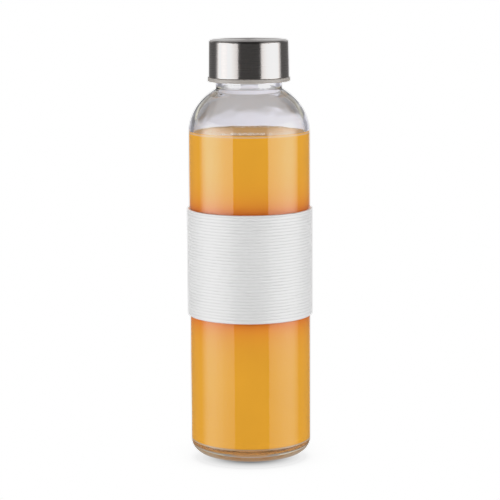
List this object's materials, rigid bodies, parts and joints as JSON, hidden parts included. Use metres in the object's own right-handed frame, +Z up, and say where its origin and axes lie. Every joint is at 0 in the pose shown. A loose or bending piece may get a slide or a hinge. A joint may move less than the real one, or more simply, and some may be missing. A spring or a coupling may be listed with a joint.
{
  "type": "glass bottle",
  "caption": "Round clear glass drinking bottle of orange juice, with a domed shoulder, a short neck, a steel screw cap and a ribbed white silicone grip sleeve.",
  "frame": {"origin": "middle of the glass ring that the bottle stands on, at the height of the table", "axes": "+Z up along the bottle's axis to the cap; X and Y are alike, and the picture was taken from -Y"},
  "size_m": [0.0662, 0.0662, 0.2195],
  "materials": {
    "clear_glass": "gloss",
    "orange_juice": "satin",
    "white_silicone": "matte",
    "brushed_steel": "satin",
    "liner_plastic": "satin"
  },
  "bodies": {
    "root": {"bottle_glass": "clear_glass", "juice": "orange_juice", "sleeve": "white_silicone", "cap_shell": "brushed_steel", "cap_liner": "liner_plastic"}
  },
  "joints": []
}
